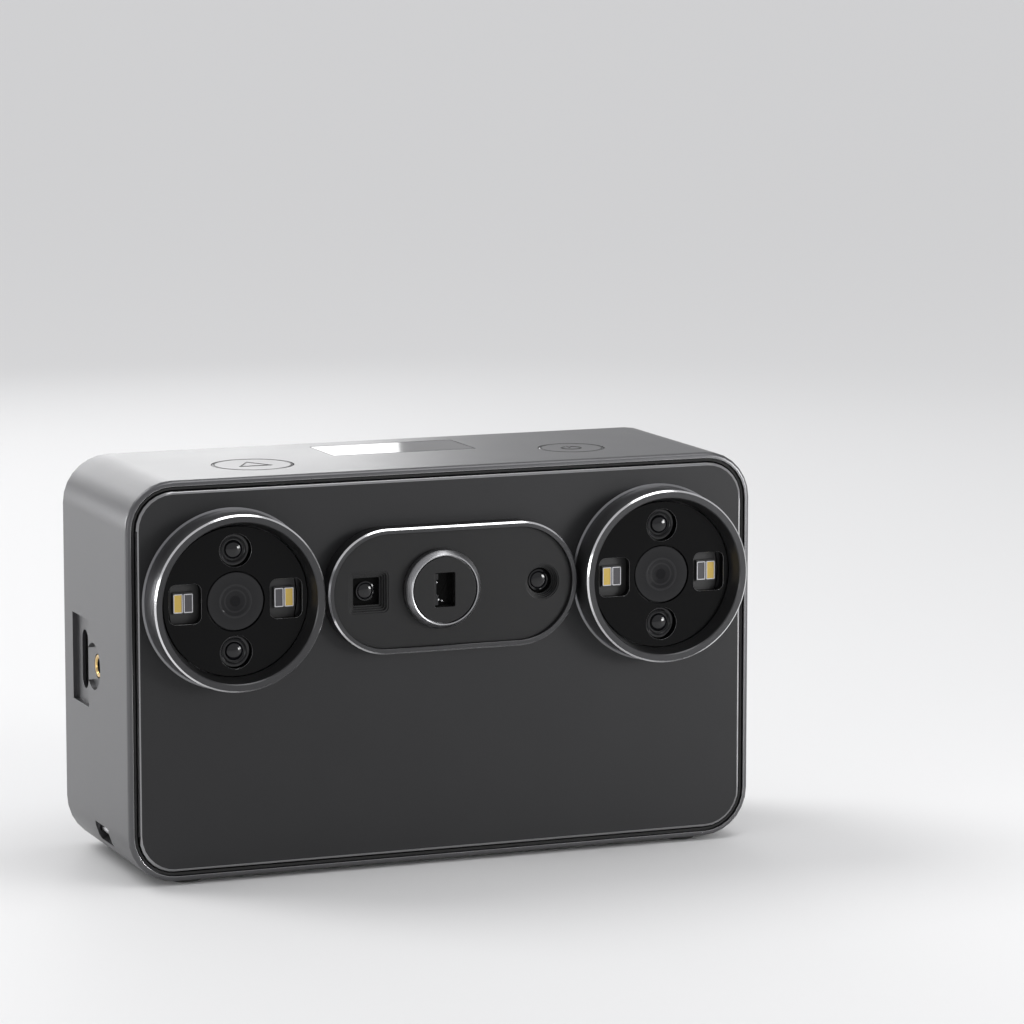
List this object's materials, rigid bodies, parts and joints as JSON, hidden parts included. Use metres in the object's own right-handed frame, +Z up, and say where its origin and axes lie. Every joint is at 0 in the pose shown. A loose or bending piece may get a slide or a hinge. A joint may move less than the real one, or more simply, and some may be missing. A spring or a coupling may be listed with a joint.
{
  "type": "handheld three-d scanner",
  "caption": "Handheld three-d scanner with round camera modules and a projector on its front, a touch screen on its back, push buttons on top and a hinged battery door with a sliding latch.",
  "frame": {"origin": "middle of the footprint, on the surface that the feet stand on", "axes": "+X to the right for someone who looks at the lens front, +Y from the lens front to the screen back, +Z up"},
  "size_m": [0.1846, 0.0734, 0.1119],
  "materials": {
    "frame": "fine satin, dark grey anodised",
    "cover": "satin, near black grey",
    "seal": "matt black",
    "bezel": "satin, dark grey anodised",
    "black": "smooth black",
    "lens": "smoked, polished",
    "lamp": "clear, polished",
    "chip": "lamp chips under clear resin",
    "board": "solder mask",
    "metal": "milled",
    "glass": "polished black",
    "display": "lit screen",
    "gloss": "mirror smooth grey",
    "rubber": "matt black",
    "brass": "turned",
    "steel": "turned",
    "cells": "wrapped in dark film"
  },
  "bodies": {
    "housing": {"middle_frame": "frame", "front_cover": "cover", "back_cover": "cover", "front_gasket": "seal", "back_gasket": "seal", "left_bezel": "bezel", "left_module_plate": "black", "left_camera_window": "lens", "left_lower_lamp": "lamp", "left_upper_lamp": "lamp", "left_inner_flash": "chip", "left_outer_flash": "chip", "left_lamp_board": "board", "left_camera_body": "metal", "right_bezel": "bezel", "right_module_plate": "black", "right_camera_window": "lens", "right_lower_lamp": "lamp", "right_upper_lamp": "lamp", "right_inner_flash": "chip", "right_outer_flash": "chip", "right_lamp_board": "board", "right_camera_body": "metal", "centre_bezel": "bezel", "centre_window": "black", "projector_ring": "metal", "projector_disc": "black", "projector_body": "metal", "square_camera": "black", "round_camera": "lens", "chassis_plate": "metal", "main_board": "board", "heat_sink": "metal", "upper_left_screw": "steel", "lower_left_screw": "steel", "upper_right_screw": "steel", "lower_right_screw": "steel", "screen_glass": "glass", "display_panel": "display", "switch_panel": "frame", "mode_switch": "black", "microphone": "metal", "door_hinge_pin": "steel", "battery_bay": "black", "battery_pack": "cells", "button_board": "board", "top_panel": "gloss", "cable_socket": "black", "locking_insert": "brass", "lanyard_bar": "steel", "front_left_foot": "rubber", "back_left_foot": "rubber", "front_right_foot": "rubber", "back_right_foot": "rubber", "tripod_bush": "brass"},
    "scan_button": {"scan_button": "frame"},
    "power_button": {"power_button": "frame"},
    "mode_slider": {"mode_slider": "cover"},
    "battery_door": {"battery_door": "frame"},
    "battery_latch": {"battery_latch": "cover"}
  },
  "joints": [
    {"name": "scan_press", "type": "slide", "parent": "housing", "child": "scan_button", "axis": [0, 0, 1], "range_m": [-0.0008, 0], "stiffness_N_per_m": 1500},
    {"name": "power_press", "type": "slide", "parent": "housing", "child": "power_button", "axis": [0, 0, 1], "range_m": [-0.0008, 0], "stiffness_N_per_m": 1500},
    {"name": "mode_slide", "type": "slide", "parent": "housing", "child": "mode_slider", "axis": [0, 0, 1], "range_m": [-0.0036, 0]},
    {"name": "door_hinge", "type": "hinge", "parent": "housing", "child": "battery_door", "pos_m": [0.0907, -0.0036, 0.0174], "axis": [0, 1, 0], "range_deg": [0, 95]},
    {"name": "latch_slide", "type": "slide", "parent": "battery_door", "child": "battery_latch", "axis": [0, 0, 1], "range_m": [-0.0036, 0]}
  ]
}
